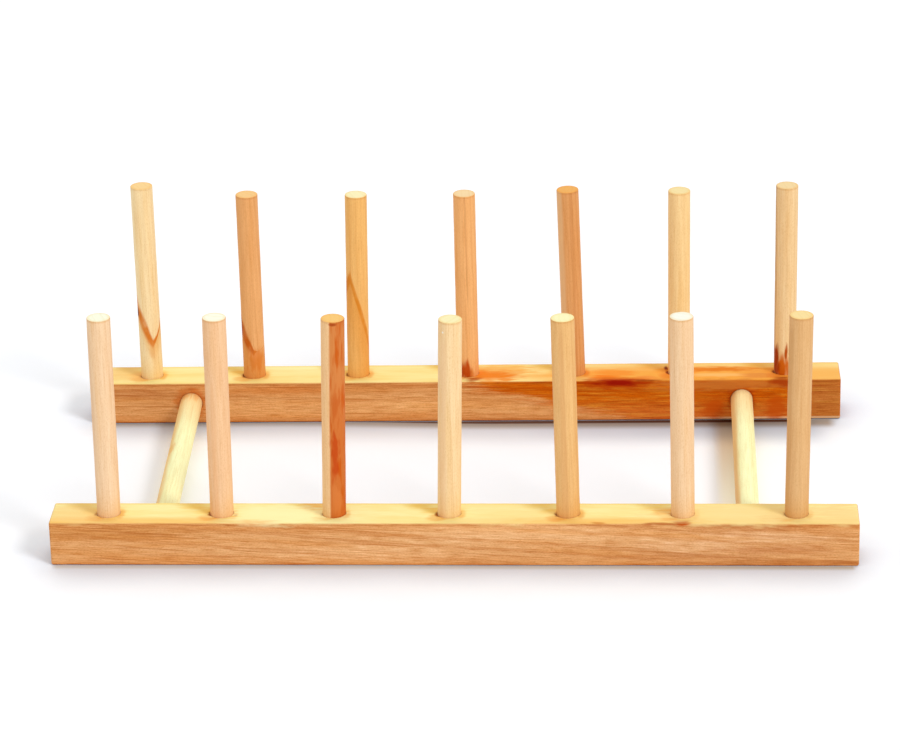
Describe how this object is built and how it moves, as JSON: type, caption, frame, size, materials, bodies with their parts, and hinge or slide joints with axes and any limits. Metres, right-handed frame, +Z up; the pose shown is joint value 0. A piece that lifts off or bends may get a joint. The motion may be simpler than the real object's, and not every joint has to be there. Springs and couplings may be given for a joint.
{
  "type": "plate rack",
  "caption": "Free-standing wooden table rack: square front and rear rails joined by cross dowels, each with a row of upright round pegs that hold plates on edge.",
  "frame": {"origin": "middle of the rack's outline seen from above, on the table surface that both rails stand on", "axes": "+X along the rails, to the right in the picture; +Y from the front rail to the rear rail; +Z up, the way the pegs stand"},
  "size_m": [0.3413, 0.1696, 0.1125],
  "materials": {
    "rail_wood": "planed and sanded softwood, unvarnished, satin",
    "pale_peg_wood": "sanded pale sapwood dowel, unvarnished",
    "golden_peg_wood": "sanded golden dowel, unvarnished",
    "heartwood_peg_wood": "sanded dowel, half sapwood and half reddish heartwood, unvarnished",
    "cross_dowel_wood": "sanded pale yellow dowel, unvarnished"
  },
  "bodies": {
    "root": {"front_rail": "rail_wood", "rear_rail": "rail_wood", "front_peg_1": "pale_peg_wood", "front_peg_2": "pale_peg_wood", "front_peg_3": "heartwood_peg_wood", "front_peg_4": "pale_peg_wood", "front_peg_5": "golden_peg_wood", "front_peg_6": "pale_peg_wood", "front_peg_7": "golden_peg_wood", "rear_peg_1": "pale_peg_wood", "rear_peg_2": "golden_peg_wood", "rear_peg_3": "golden_peg_wood", "rear_peg_4": "heartwood_peg_wood", "rear_peg_5": "heartwood_peg_wood", "rear_peg_6": "pale_peg_wood", "rear_peg_7": "golden_peg_wood", "left_cross_dowel": "cross_dowel_wood", "right_cross_dowel": "cross_dowel_wood"}
  },
  "joints": []
}
